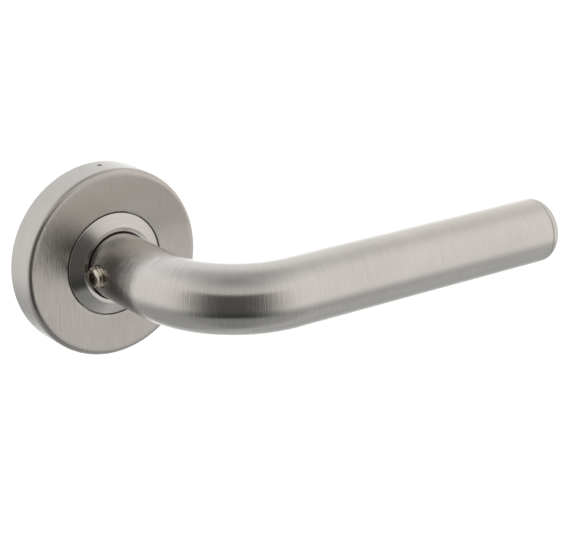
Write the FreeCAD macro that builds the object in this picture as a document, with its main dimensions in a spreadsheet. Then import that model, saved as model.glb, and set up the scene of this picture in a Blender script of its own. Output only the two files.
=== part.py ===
"""A round-rose door lever handle: a bent stainless tube on a spring-returned rose.

Every piece except the tip cap and the grub screw is modelled standing on the door: its local z
is the distance from the door face, its local x is the way the lever arm points and its local y
is up. FROM_DOOR turns that frame into the model frame, where the door lies in the XZ plane,
the handle stands out along -Y and +Z is up. Lengths are in millimetres, angles in degrees.
"""

import FreeCAD
import Part
import Sketcher
import math
import os
import re

Vector = FreeCAD.Vector
Rotation = FreeCAD.Rotation
Placement = FreeCAD.Placement

FROM_DOOR = Placement(Vector(0, 0, 0), Rotation(Vector(1, 0, 0), 90))
ALONG_Z = Vector(0, 0, 1)
TOUCH = 1e-6

# Driving dimensions: alias, value, meaning.
SIZES = [
    ("cover_radius", 27.0, "outside radius of the rose cover"),
    ("cover_height", 10.0, "door face to the front of the cover"),
    ("cover_wall", 1.2, "sheet thickness of the cover"),
    ("cover_edge", 1.5, "rounding of the cover's front edge"),
    ("cover_hole_edge", 0.25, "rounding of the edge of the cover's hole"),
    ("rim_hole_radius", 0.75, "hole in the rim that a key reaches the lock screw through"),
    ("rim_hole_height", 3.7, "door face to the rim hole and the lock screw"),
    ("collar_rise", 2.2, "front of the cover to the collar's lip"),
    ("collar_lip", 1.15, "width of the collar's flat lip"),
    ("collar_bore_gap", 0.35, "gap between the tube and the collar's lip"),
    ("collar_wall", 1.95, "wall of the collar around its cavity"),
    ("collar_step", 0.85, "how far the collar's foot reaches out under the cover"),
    ("tube_radius", 9.5, "outside radius of the lever tube"),
    ("tube_wall", 1.25, "wall of the lever tube"),
    ("projection", 58.0, "door face to the centreline of the lever arm"),
    ("bend_radius", 25.0, "centreline radius of the bend"),
    ("lever_reach", 117.5, "turning axis to the tip of the lever"),
    ("tip_length", 3.6, "visible length of the tip cap"),
    ("tip_edge", 3.4, "rounding of the tip cap"),
    ("tip_spigot", 4.0, "how far the tip cap goes into the tube"),
    ("fit_gap", 0.05, "radial clearance of a push or running fit"),
    ("axial_gap", 0.05, "end clearance between parts that turn on each other"),
    ("free_gap", 0.3, "clearance between parts that never touch"),
    ("light_gap", 0.15, "end clearance beside the spring and the neck bush"),
    ("neck_bush_flange", 0.45, "thickness of the neck bush's flange"),
    ("neck_bush_recess", 0.4, "how far the neck bush sits behind the lip"),
    ("journal_radius", 7.5, "radius of the insert where it turns in the rear bush"),
    ("journal_start", 0.2, "door face to the end of the journal"),
    ("insert_clear", 1.5, "inner end of the neck insert to the bend"),
    ("dog_reach", 9.1, "turning axis to the ends of the insert's driving dogs"),
    ("dog_width", 5.0, "width of the driving dogs"),
    ("driver_thickness", 1.2, "thickness of the driver plate"),
    ("driver_gap", 0.7, "gap around the driver plate's disc"),
    ("lobe_gap", 0.4, "gap between the lobe and the wall of its window"),
    ("lobe_angle", 30.0, "angle that the lobe takes up"),
    ("turn_angle", 45.0, "how far the lever turns down"),
    ("stop_gap", 0.4, "angle left between the lobe and a stop pin"),
    ("stop_relief", 3.0, "angle that the window runs on past each end of the travel"),
    ("pin_radius", 1.2, "radius of a stop pin"),
    ("pin_inset", 1.1, "wall of the spring pocket to the middle of a stop pin"),
    ("pin_start", 3.0, "door face to the foot of a stop pin"),
    ("spindle_side", 8.0, "side of the square spindle"),
    ("spindle_length", 60.0, "length of the spindle"),
    ("spindle_proud", 30.0, "how far the spindle stands out behind the door face"),
    ("spindle_edge", 0.5, "chamfer of the spindle's edges"),
    ("spindle_spot", 0.5, "depth of the spot that the grub screw bears on"),
    ("grub_clear", 4.8, "collar's lip to the grub screw's axis"),
    ("grub_radius", 3.0, "major radius of the grub screw's thread"),
    ("grub_length", 8.0, "length of the grub screw"),
    ("grub_pitch", 1.0, "pitch of the grub screw's thread"),
    ("grub_thread_depth", 0.55, "depth of the grub screw's thread"),
    ("grub_socket", 3.0, "hexagon socket across its flats"),
    ("grub_socket_depth", 3.5, "depth of the hexagon socket"),
    ("grub_chamfer", 0.6, "chamfer of the grub screw's ends"),
    ("rear_recess_radius", 12.5, "recess behind the base plate for the circlip"),
    ("web_sheet", 1.4, "thickness of the web behind the spring"),
    ("rear_pocket_inner", 16.0, "inner radius of the pockets behind the base plate"),
    ("rear_pocket_outer", 23.4, "outer radius of those pockets"),
    ("rear_pocket_depth", 5.0, "depth of those pockets"),
    ("rear_pocket_angle", 50.0, "angle that each pocket takes up"),
    ("rear_pocket_count", 4, "number of those pockets"),
    ("rear_bush_flange", 0.4, "thickness of the rear bush's flange"),
    ("rear_bush_flange_radius", 11.8, "radius of the rear bush's flange"),
    ("rear_bush_wall", 1.25, "wall of the rear bush"),
    ("thrust_washer_sheet", 0.35, "thickness of the thrust washer"),
    ("disc_spring_inner", 7.9, "inner radius of the disc spring"),
    ("disc_spring_outer", 10.6, "outer radius of the disc spring"),
    ("disc_spring_sheet", 0.2, "sheet thickness of the disc spring"),
    ("disc_spring_rise", 0.5, "height of the disc spring as fitted"),
    ("circlip_start", 0.65, "door face to the circlip"),
    ("circlip_sheet", 1.0, "thickness of the circlip"),
    ("circlip_groove_radius", 7.15, "radius of the circlip's groove"),
    ("circlip_radius", 9.6, "outside radius of the circlip's ring"),
    ("circlip_mouth", 4.0, "width of the circlip's mouth"),
    ("circlip_ear_radius", 1.7, "radius of the circlip's ears"),
    ("circlip_ear_hole", 0.8, "radius of the holes in the ears"),
    ("spring_wire", 0.7, "radius of the return spring's wire"),
    ("spring_clear", 1.0, "gap between the tube's surface and the spring"),
    ("spring_room", 0.4, "gap between the spring and its pocket in the base plate"),
    ("cavity_room", 0.7, "gap between the spring and the collar's cavity"),
    ("turn_gap", 0.2, "gap between two turns of the spring"),
    ("spring_turns", 1.6, "turns of the return spring"),
    ("spring_leg", 10.0, "length of the spring's fixed leg"),
    ("spring_bend", 1.0, "radius of the wire's bend at the spring's moving end"),
    ("tang_depth", 0.7, "how far the spring's moving end reaches into the insert"),
    ("tang_gap", 0.19, "clearance between the spring's moving end and the tube"),
    ("spring_slot_gap", 0.1, "clearance beside the spring's ends"),
    ("snap_wire", 0.6, "radius of the snap ring's wire"),
    ("snap_height", 5.0, "door face to the snap ring"),
    ("snap_mouth", 36.0, "angle left open in the snap ring"),
    ("sleeve_spacing", 38.0, "distance between the two support sleeves"),
    ("sleeve_radius", 4.0, "outside radius of a support sleeve"),
    ("sleeve_spigot_radius", 3.5, "radius of the end that is pressed into the base plate"),
    ("sleeve_proud", 6.5, "how far a sleeve stands out behind the door face"),
    ("sleeve_seat", 6.0, "how deep a sleeve is pressed into the base plate"),
    ("sleeve_relief", 1.0, "depth of the relief in the base plate around a sleeve"),
    ("sleeve_thread_radius", 1.65, "tapping radius of the thread in a sleeve"),
    ("sleeve_thread_depth", 10.0, "depth of that thread"),
    ("sleeve_chamfer", 0.5, "chamfer of a sleeve's free end"),
    ("screw_spacing", 40.0, "distance between the two wood screws"),
    ("screw_radius", 1.75, "radius of a wood screw's thread"),
    ("screw_shank_radius", 1.95, "radius of a wood screw's plain shank"),
    ("screw_head_radius", 3.4, "radius of a wood screw's head"),
    ("screw_head_height", 6.0, "door face to the top of a wood screw's head"),
    ("screw_length", 16.0, "length of a wood screw"),
    ("screw_point", 3.0, "length of a wood screw's point"),
    ("screw_hole_radius", 2.1, "radius of the base plate's screw holes"),
    ("screw_well_gap", 0.2, "clearance around a wood screw's head"),
    ("screw_cross_reach", 1.8, "reach of the cross recess from its middle"),
    ("screw_cross_width", 0.9, "width of each slot of the cross recess"),
    ("screw_cross_depth", 1.4, "depth of the cross recess"),
    ("lock_radius", 1.25, "radius of the cover's lock screw"),
    ("lock_gap", 0.4, "gap between the lock screw and the cover"),
    ("lock_length", 3.0, "length of the lock screw"),
    ("lock_socket", 1.3, "hexagon socket of the lock screw across its flats"),
    ("lock_socket_depth", 1.2, "depth of that socket"),
    ("lock_chamfer", 0.25, "chamfer of the lock screw's ends"),
]

# Sizes and places that follow from the driving dimensions: name and formula.
DERIVED = [
    ("base_thickness", "cover_height - cover_wall - free_gap"),
    ("collar_height", "cover_height + collar_rise"),
    ("collar_bore_radius", "tube_radius + collar_bore_gap"),
    ("collar_lip_radius", "collar_bore_radius + collar_lip"),
    ("rear_recess",
     "circlip_start + circlip_sheet + disc_spring_rise + rear_bush_flange + axial_gap"),
    ("web_height", "rear_recess + web_sheet"),
    ("web_bore_radius", "journal_radius + fit_gap + rear_bush_wall"),
    ("driver_height", "web_height + thrust_washer_sheet + axial_gap"),
    ("driver_top", "driver_height + driver_thickness"),
    ("spring_radius", "tube_radius + spring_clear + spring_wire"),
    ("spring_start", "driver_top + spring_wire + light_gap"),
    ("spring_pitch", "spring_wire * 2 + turn_gap"),
    ("spring_end", "spring_start + spring_pitch * spring_turns"),
    ("leg_drop", "spring_leg * spring_pitch / (2 * pi * spring_radius)"),
    ("collar_seat", "spring_start + spring_wire + spring_slot_gap + light_gap"),
    ("spring_tang_reach", "tube_radius - tang_depth"),
    ("spring_pocket_radius", "spring_radius + spring_wire + spring_room"),
    ("collar_cavity_radius", "spring_radius + spring_wire + cavity_room"),
    ("collar_radius", "collar_cavity_radius + collar_wall"),
    ("collar_foot_radius", "collar_radius + collar_step"),
    ("tube_foot", "spring_end + spring_wire + tang_gap"),
    ("collar_roof", "tube_foot + light_gap + neck_bush_flange"),
    ("driver_radius", "spring_pocket_radius - driver_gap"),
    ("thrust_washer_radius", "spring_pocket_radius - spring_room"),
    ("pin_circle", "spring_pocket_radius + pin_inset"),
    ("lobe_radius", "pin_circle + pin_radius"),
    ("window_radius", "lobe_radius + lobe_gap"),
    ("insert_length", "projection - bend_radius - insert_clear"),
    ("grub_height", "collar_height + grub_clear"),
    ("lock_start", "cover_radius - cover_wall - lock_gap - lock_length"),
    ("tang_angle", "630 deg - spring_turns * 360 deg"
                   " - asin(spring_bend / (tube_radius - tang_depth / 2))"),
]


class Model:
    """The document, its sheet of sizes and the list of finished sub-parts."""

    def __init__(self):
        self.doc = FreeCAD.newDocument("LeverHandle")
        self.sheet = self.doc.addObject("Spreadsheet::Sheet", "Sizes")
        for row, (alias, value, meaning) in enumerate(SIZES, start=1):
            self.sheet.set(f"A{row}", alias)
            self.sheet.set(f"B{row}", str(value))
            self.sheet.set(f"C{row}", meaning)
            self.sheet.setAlias(f"B{row}", alias)
        self.doc.recompute()
        self.named = {alias: f"Sizes.{alias}" for alias, _, _ in SIZES}
        for name, formula in DERIVED:
            self.named[name] = f"({self.linked(formula)})"
        self.parts = []

    def linked(self, formula):
        """Returns formula with each name written out as expressions need it."""
        return re.sub(r"[a-z_]+", lambda word: self.named.get(word[0], word[0]), formula)

    def value(self, formula):
        """Returns the number that a formula of aliases stands for now."""
        return float(self.sheet.evalExpression(self.linked(formula)))

    def bind(self, thing, **formulas):
        """Binds properties of thing to formulas of aliases."""
        for name, formula in formulas.items():
            thing.setExpression(name, self.linked(formula))

    def body(self, label, placement=FROM_DOOR):
        """Starts a PartDesign body that becomes the sub-part called label."""
        body = self.doc.addObject("PartDesign::Body", label + "_body")
        body.Placement = placement
        return body

    def keep(self, thing, label, placement=None):
        """Names thing as a finished sub-part, and places it if a placement is given."""
        thing.Label = label
        if placement is not None:
            thing.Placement = placement
        self.parts.append(thing)

    def add(self, kind, name, **formulas):
        """Adds a Part object whose properties are bound to formulas of aliases."""
        thing = self.doc.addObject(kind, name)
        self.bind(thing, **formulas)
        return thing

    def sketch(self, body, name, plane, offset=None, **formulas):
        """Adds an empty sketch on one of the body's own origin planes."""
        made = body.newObject("Sketcher::SketchObject", name)
        support = next(f for f in body.Origin.OriginFeatures if f.Role == plane)
        made.AttachmentSupport = [(support, "")]
        made.MapMode = "FlatFace"
        if offset is not None:
            made.AttachmentOffset = offset
        for path, formula in formulas.items():
            made.setExpression(f".AttachmentOffset.Base.{path}", self.linked(formula))
        self.doc.recompute()
        return made

    def fix_point(self, sketch, piece, end, across, up):
        """Holds one end of a piece of geometry at a point given by two formulas."""
        for kind, axis, formula in (("DistanceX", -2, across), ("DistanceY", -1, up)):
            if formula == "0":
                sketch.addConstraint(Sketcher.Constraint("PointOnObject", piece, end, axis))
                continue
            value = self.value(formula)
            index = sketch.addConstraint(Sketcher.Constraint(kind, -1, 1, piece, end, value))
            sketch.setExpression(f"Constraints[{index}]", self.linked(formula))

    def outline(self, sketch, corners):
        """Draws a closed outline through corners, each a pair of formulas, all held in place."""
        points = [Vector(self.value(across), self.value(up), 0) for across, up in corners]
        first = sketch.GeometryCount
        count = len(points)
        for i in range(count):
            sketch.addGeometry(Part.LineSegment(points[i], points[(i + 1) % count]), False)
        for i in range(count):
            following = first + (i + 1) % count
            sketch.addConstraint(Sketcher.Constraint("Coincident", first + i, 2, following, 1))
        for i, (across, up) in enumerate(corners):
            self.fix_point(sketch, first + i, 1, across, up)

    def rectangle(self, sketch, left, low, right, high):
        """Draws an upright rectangle between two corners given by formulas."""
        self.outline(sketch, [(left, low), (right, low), (right, high), (left, high)])

    def circle(self, sketch, across, up, radius):
        """Draws a circle whose centre and radius are given by formulas."""
        centre = Vector(self.value(across), self.value(up), 0)
        index = sketch.addGeometry(Part.Circle(centre, ALONG_Z, self.value(radius)), False)
        self.fix_point(sketch, index, 3, across, up)
        held = sketch.addConstraint(Sketcher.Constraint("Radius", index, self.value(radius)))
        sketch.setExpression(f"Constraints[{held}]", self.linked(radius))

    def revolve(self, body, name, corners):
        """Turns an outline of (radius, height) corners about the body's z axis."""
        sketch = self.sketch(body, name + "_outline", "XZ_Plane")
        self.outline(sketch, corners)
        made = body.newObject("PartDesign::Revolution", name)
        made.Profile = sketch
        made.ReferenceAxis = (sketch, ["V_Axis"])
        made.Angle = 360
        self.doc.recompute()
        return made

    def hexagon(self, sketch, flats):
        """Draws a hexagon about the sketch's origin, given its size across the flats."""
        reach, rise = f"{flats} / sqrt(3)", f"{flats} / 2"
        self.outline(sketch, [
            (reach, "0"), (f"{reach} / 2", rise), (f"0 - {reach} / 2", rise),
            (f"0 - {reach}", "0"), (f"0 - {reach} / 2", f"0 - {rise}"),
            (f"{reach} / 2", f"0 - {rise}"),
        ])

    def bent_path(self, sketch, start, bend_in, bend_out, end, centre, radius):
        """Draws a line, a quarter arc and a line; each place is a pair of formulas."""
        places = [(self.value(across), self.value(up)) for across, up in
                  (start, bend_in, bend_out, end, centre)]
        first, second, third, last, middle = [Vector(x, y, 0) for x, y in places]
        bend = Part.Circle(middle, ALONG_Z, self.value(radius))
        sketch.addGeometry(Part.LineSegment(first, second), False)
        sketch.addGeometry(Part.ArcOfCircle(bend, math.pi / 2, math.pi), False)
        sketch.addGeometry(Part.LineSegment(third, last), False)
        sketch.addConstraint(Sketcher.Constraint("Coincident", 0, 2, 1, 2))
        sketch.addConstraint(Sketcher.Constraint("Coincident", 1, 1, 2, 1))
        for piece, point, place in ((0, 1, start), (0, 2, bend_in), (2, 1, bend_out),
                                    (2, 2, end)):
            self.fix_point(sketch, piece, point, *place)
        held = sketch.addConstraint(Sketcher.Constraint("Radius", 1, self.value(radius)))
        sketch.setExpression(f"Constraints[{held}]", self.linked(radius))

    def pad(self, body, name, sketch, length):
        """Adds material from a sketch along the body's z axis."""
        made = body.newObject("PartDesign::Pad", name)
        made.Profile = sketch
        self.bind(made, Length=length)
        self.doc.recompute()
        return made

    def cut(self, body, kind, name, sketch, **settings):
        """Adds a Pocket, Groove or other feature that has to take material away."""
        before = body.Shape.Volume
        made = body.newObject("PartDesign::" + kind, name)
        made.Profile = sketch
        for setting, value in settings.items():
            if isinstance(value, str) and setting != "HoleCutType":
                self.bind(made, **{setting: value})
            else:
                setattr(made, setting, value)
        self.doc.recompute()
        if body.Shape.Volume > before - TOUCH:
            raise ValueError(f"{name} takes nothing away from {body.Label}")
        return made

    def dress(self, body, kind, name, formula, wanted):
        """Fillets or chamfers the round edges at the wanted (radius, height) places."""
        tip = body.Tip
        places = [(self.value(radius), self.value(height)) for radius, height in wanted]
        names = [
            f"Edge{number}"
            for number, edge in enumerate(tip.Shape.Edges, start=1)
            if is_round_edge(edge, places)
        ]
        if len(names) < len(places):
            raise ValueError(f"{name} finds {len(names)} of the {len(places)} edges")
        made = body.newObject("PartDesign::" + kind, name)
        made.Base = (tip, names)
        self.bind(made, **{"Radius" if kind == "Fillet" else "Size": formula})
        self.doc.recompute()
        return made

    def keep_pair(self, thing, label, normal):
        """Keeps thing and its mirror image, in a plane through the origin, as one sub-part."""
        other = self.doc.addObject("Part::Mirroring", thing.Name + "_mirrored")
        other.Source = thing
        other.Normal = normal
        both = self.doc.addObject("Part::Compound", thing.Name + "_pair")
        both.Links = [thing, other]
        self.keep(both, label)

    def check(self):
        """Stops the macro if an object failed or a sub-part isn't made of valid solids."""
        for thing in self.doc.Objects:
            if "Invalid" in thing.State or "Error" in thing.State:
                raise ValueError(f"{thing.Name} failed: {thing.State}")
        for part in self.parts:
            shape = part.Shape
            if shape.isNull() or not shape.isValid() or not shape.Solids:
                raise ValueError(f"{part.Label} has no valid solid")

    def write(self):
        """Writes each sub-part to its own STEP file."""
        os.makedirs("parts", exist_ok=True)
        for part in self.parts:
            part.Shape.exportStep(f"parts/{part.Label}.step")
            print(f"{part.Label:16s} {len(part.Shape.Solids)} solid(s) {part.Shape.Volume:9.1f} mm3")


def is_round_edge(edge, places):
    """Tells whether edge is a circle about the local z axis at one of the places."""
    if not isinstance(edge.Curve, Part.Circle):
        return False
    centre = edge.Curve.Center
    if abs(centre.x) > TOUCH or abs(centre.y) > TOUCH:
        return False
    return any(
        abs(edge.Curve.Radius - radius) < TOUCH and abs(centre.z - height) < TOUCH
        for radius, height in places
    )


def build_rose_cover(model):
    """The pressed cover: a shallow cup with a round hole and a small hole in its rim."""
    hole = "collar_radius + free_gap"
    inside = "cover_radius - cover_wall"
    roof = "cover_height - cover_wall"
    body = model.body("rose_cover")
    model.revolve(body, "cover_shell", [
        ("cover_radius", "0"),
        ("cover_radius", "cover_height"),
        (hole, "cover_height"),
        (hole, roof),
        (inside, roof),
        (inside, "0"),
    ])
    model.dress(body, "Fillet", "cover_edge_round", "cover_edge",
                [("cover_radius", "cover_height")])
    model.dress(body, "Fillet", "cover_hole_round", "cover_hole_edge",
                [(hole, "cover_height")])
    spot = model.sketch(body, "rim_hole_spot", "XZ_Plane")
    model.circle(spot, "0", "rim_hole_height", "rim_hole_radius")
    model.cut(body, "Pocket", "rim_hole", spot, Length="cover_radius + cover_wall")
    model.keep(body, "rose_cover")


def build_base_plate(model):
    """The cast base plate that the wood screws and support sleeves hold to the door."""
    edge = "cover_radius - cover_wall - free_gap"
    ring = "cover_radius - cover_wall - snap_wire * 2 - fit_gap * 4"
    low = "snap_height - snap_wire - fit_gap"
    high = "snap_height + snap_wire + fit_gap"
    body = model.body("base_plate")
    model.revolve(body, "casting", [
        ("rear_recess_radius", "0"),
        (edge, "0"),
        (edge, low),
        (ring, low),
        (ring, high),
        (edge, high),
        (edge, "base_thickness"),
        ("collar_foot_radius", "base_thickness"),
        ("collar_foot_radius", "collar_seat"),
        ("spring_pocket_radius", "collar_seat"),
        ("spring_pocket_radius", "web_height"),
        ("web_bore_radius", "web_height"),
        ("web_bore_radius", "rear_recess"),
        ("rear_recess_radius", "rear_recess"),
    ])
    cut_stop_window(model, body)
    cut_rear_pockets(model, body)
    cut_fixing_holes(model, body)
    cut_spring_slot(model, body)
    lock = model.sketch(body, "lock_spot", "XZ_Plane", z="0 - lock_start + free_gap")
    model.circle(lock, "0", "rim_hole_height", "lock_radius + fit_gap")
    model.cut(body, "Pocket", "lock_hole", lock, Length="lock_length + free_gap * 2")
    model.keep(body, "base_plate")


def cut_stop_window(model, body):
    """Cuts the window that the driver's lobe swings in, and the holes of its stop pins."""
    window = model.sketch(body, "window_outline", "YZ_Plane")
    model.rectangle(window, "spring_pocket_radius - 1", "web_height", "window_radius",
                    "driver_top + free_gap")
    model.cut(body, "Groove", "stop_window", window, ReferenceAxis=(window, ["V_Axis"]),
              Midplane=True, Angle="turn_angle + lobe_angle + stop_relief * 2")
    pins = model.sketch(body, "pin_spots", "XY_Plane", z="pin_start")
    for side in ("1", "-1"):
        across, up = stop_pin_place(side)
        model.circle(pins, across, up, "pin_radius")
    model.cut(body, "Pocket", "pin_holes", pins, Length="base_thickness", Reversed=True)


def stop_pin_place(side):
    """Formulas, across and up, for the centre of the stop pin on one side of the window."""
    lean = "(turn_angle / 2 + lobe_angle / 2 + stop_gap) * 1 deg + asin(pin_radius / pin_circle)"
    return f"{side} * pin_circle * sin({lean})", f"pin_circle * cos({lean})"


def cut_rear_pockets(model, body):
    """Cuts pockets in the back of the casting that leave ribs between them."""
    count = int(model.value("rear_pocket_count"))
    turned = Placement(Vector(), Rotation(Vector(0, 1, 0), 180 / count))
    outline = model.sketch(body, "rear_pocket_outline", "XZ_Plane", turned)
    model.rectangle(outline, "rear_pocket_inner", "0", "rear_pocket_outer",
                    "rear_pocket_depth")
    pocket = model.cut(body, "Groove", "rear_pocket", outline,
                       ReferenceAxis=(outline, ["V_Axis"]), Midplane=True,
                       Angle="rear_pocket_angle")
    ring = body.newObject("PartDesign::PolarPattern", "rear_pockets")
    ring.Originals = [pocket]
    ring.Axis = (outline, ["V_Axis"])
    ring.Angle = 360
    ring.Occurrences = count
    body.Tip = ring
    model.doc.recompute()


def cut_fixing_holes(model, body):
    """Cuts the seats of the two support sleeves and the holes of the two wood screws."""
    sleeves = model.sketch(body, "sleeve_spots", "XY_Plane")
    reliefs = model.sketch(body, "relief_spots", "XY_Plane")
    wells = model.sketch(body, "screw_wells", "XY_Plane", z="base_thickness")
    holes = model.sketch(body, "screw_spots", "XY_Plane", z="screw_head_height")
    for side in ("1", "-1"):
        across, up = f"{side} * sleeve_spacing / 2", f"{side} * screw_spacing / 2"
        model.circle(sleeves, across, "0", "sleeve_spigot_radius")
        model.circle(reliefs, across, "0", "sleeve_radius + fit_gap * 2")
        model.circle(wells, "0", up, "screw_head_radius + screw_well_gap")
        model.circle(holes, "0", up, "screw_hole_radius")
    model.cut(body, "Pocket", "sleeve_holes", sleeves, Length="sleeve_seat", Reversed=True)
    model.cut(body, "Pocket", "sleeve_reliefs", reliefs, Length="sleeve_relief",
              Reversed=True)
    model.cut(body, "Pocket", "screw_well", wells, Length="base_thickness - screw_head_height")
    model.cut(body, "Hole", "screw_holes", holes, Diameter="screw_hole_radius * 2",
              DepthType=1, HoleCutType="Countersink",
              HoleCutDiameter="screw_head_radius * 2 + screw_well_gap * 2",
              HoleCutCountersinkAngle=90)


def cut_spring_slot(model, body):
    """Cuts the slot that holds the return spring's fixed leg, open towards the collar."""
    side = "(spring_wire + spring_slot_gap)"
    slot = model.sketch(body, "spring_slot_outline", "XY_Plane", z="collar_seat")
    model.rectangle(slot, "0", f"0 - spring_radius - {side}",
                    "spring_leg + free_gap", f"0 - spring_radius + {side}")
    model.cut(body, "Pocket", "spring_slot", slot,
              Length=f"collar_seat - spring_start + leg_drop + {side}")


def build_collar(model):
    """The visible turned collar around the neck, hollow for the return spring."""
    body = model.body("collar")
    model.revolve(body, "collar_turning", [
        ("collar_cavity_radius", "collar_seat"),
        ("collar_foot_radius", "collar_seat"),
        ("collar_foot_radius", "base_thickness"),
        ("collar_radius", "base_thickness"),
        ("collar_radius", "cover_height"),
        ("collar_lip_radius", "collar_height"),
        ("collar_bore_radius", "collar_height"),
        ("collar_bore_radius", "collar_roof"),
        ("collar_cavity_radius", "collar_roof"),
    ])
    model.keep(body, "collar")


def build_neck_bush(model):
    """The nylon bush inside the collar that the lever tube turns in."""
    flange = "collar_roof - neck_bush_flange"
    body = model.body("neck_bush")
    model.revolve(body, "neck_bush_turning", [
        ("tube_radius + fit_gap * 2", flange),
        ("collar_cavity_radius - free_gap", flange),
        ("collar_cavity_radius - free_gap", "collar_roof"),
        ("collar_bore_radius", "collar_roof"),
        ("collar_bore_radius", "collar_height - neck_bush_recess"),
        ("tube_radius + fit_gap * 2", "collar_height - neck_bush_recess"),
    ])
    model.keep(body, "neck_bush")


def build_rear_bush(model):
    """The flanged nylon bush in the base plate's web that the insert's journal turns in."""
    body = model.body("rear_bush")
    model.revolve(body, "rear_bush_turning", [
        ("journal_radius + fit_gap", "rear_recess - rear_bush_flange"),
        ("rear_bush_flange_radius", "rear_recess - rear_bush_flange"),
        ("rear_bush_flange_radius", "rear_recess"),
        ("web_bore_radius", "rear_recess"),
        ("web_bore_radius", "web_height"),
        ("journal_radius + fit_gap", "web_height"),
    ])
    model.keep(body, "rear_bush")


def build_thrust_washer(model):
    """The thin washer between the base plate's web and the driver plate."""
    body = model.body("thrust_washer")
    sketch = model.sketch(body, "thrust_washer_outline", "XY_Plane", z="web_height")
    model.circle(sketch, "0", "0", "thrust_washer_radius")
    model.circle(sketch, "0", "0", "journal_radius + free_gap")
    model.pad(body, "thrust_washer_sheet_pad", sketch, "thrust_washer_sheet")
    model.keep(body, "thrust_washer")


def build_disc_spring(model):
    """The conical washer that takes up the end play, between the circlip and the bush."""
    low = "circlip_start + circlip_sheet"
    body = model.body("disc_spring")
    model.revolve(body, "disc_spring_pressing", [
        ("disc_spring_inner", low),
        ("disc_spring_outer", f"{low} + disc_spring_rise - disc_spring_sheet"),
        ("disc_spring_outer", f"{low} + disc_spring_rise"),
        ("disc_spring_inner", f"{low} + disc_spring_sheet"),
    ])
    model.keep(body, "disc_spring")


def build_circlip(model):
    """The circlip that holds the insert in the base plate, its mouth to the arm's side."""
    ear = "circlip_radius + circlip_ear_radius / 4"
    rise = "circlip_mouth / 2 + circlip_ear_radius * 0.8"
    body = model.body("circlip")
    ring = model.sketch(body, "circlip_ring_outline", "XY_Plane", z="circlip_start")
    model.circle(ring, "0", "0", "circlip_radius")
    model.circle(ring, "0", "0", "circlip_groove_radius + fit_gap")
    model.pad(body, "circlip_ring", ring, "circlip_sheet")
    ears = model.sketch(body, "circlip_ear_outline", "XY_Plane", z="circlip_start")
    mouth = model.sketch(body, "circlip_mouth_outline", "XY_Plane", z="circlip_start")
    holes = model.sketch(body, "circlip_ear_spots", "XY_Plane", z="circlip_start")
    for side in ("1", "-1"):
        model.circle(ears, ear, f"{side} * ({rise})", "circlip_ear_radius")
        model.circle(holes, ear, f"{side} * ({rise})", "circlip_ear_hole")
    model.rectangle(mouth, "0", "0 - circlip_mouth / 2", "circlip_radius + circlip_mouth",
                    "circlip_mouth / 2")
    model.pad(body, "circlip_ears", ears, "circlip_sheet")
    for name, sketch in (("circlip_mouth_cut", mouth), ("circlip_ear_holes", holes)):
        model.cut(body, "Pocket", name, sketch, Length="circlip_sheet", Reversed=True)
    model.keep(body, "circlip")


def build_driver_plate(model):
    """The plate that turns with the insert and carries the lobe that meets the stop pins."""
    turned = Placement(Vector(), Rotation(Vector(0, 1, 0), 90))
    body = model.body("driver_plate")
    disc = model.sketch(body, "driver_outline", "XY_Plane", z="driver_height")
    model.circle(disc, "0", "0", "driver_radius")
    model.circle(disc, "0", "0", "journal_radius + fit_gap")
    model.pad(body, "driver_disc", disc, "driver_thickness")
    outline = model.sketch(body, "lobe_outline", "XZ_Plane", turned)
    outline.setExpression(".AttachmentOffset.Rotation.Angle",
                          model.linked("90 deg + turn_angle * 0.5 deg"))
    model.rectangle(outline, "driver_radius - 1", "driver_height", "lobe_radius",
                    "driver_top")
    lobe = body.newObject("PartDesign::Revolution", "driver_lobe")
    lobe.Profile = outline
    lobe.ReferenceAxis = (outline, ["V_Axis"])
    lobe.Midplane = True
    model.bind(lobe, Angle="lobe_angle")
    model.doc.recompute()
    slots = model.sketch(body, "dog_slot_outline", "XY_Plane", z="driver_height")
    model.rectangle(slots, "0 - dog_reach - fit_gap", "0 - dog_width / 2 - fit_gap",
                    "dog_reach + fit_gap", "dog_width / 2 + fit_gap")
    model.cut(body, "Pocket", "dog_slots", slots, Length="driver_thickness", Reversed=True)
    model.keep(body, "driver_plate")


def build_stop_pins(model):
    """The two steel pins in the base plate that end the lever's travel."""
    pins = []
    for name, side in (("rest_pin", "-1"), ("end_pin", "1")):
        across, up = stop_pin_place(side)
        pin = model.add("Part::Cylinder", name, Radius="pin_radius",
                        Height="collar_seat - pin_start")
        model.bind(pin, **{".Placement.Base.x": across, ".Placement.Base.y": up,
                           ".Placement.Base.z": "pin_start"})
        pins.append(pin)
    both = model.doc.addObject("Part::Compound", "stop_pin_pair")
    both.Links = pins
    model.keep(both, "stop_pins", FROM_DOOR)


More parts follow.
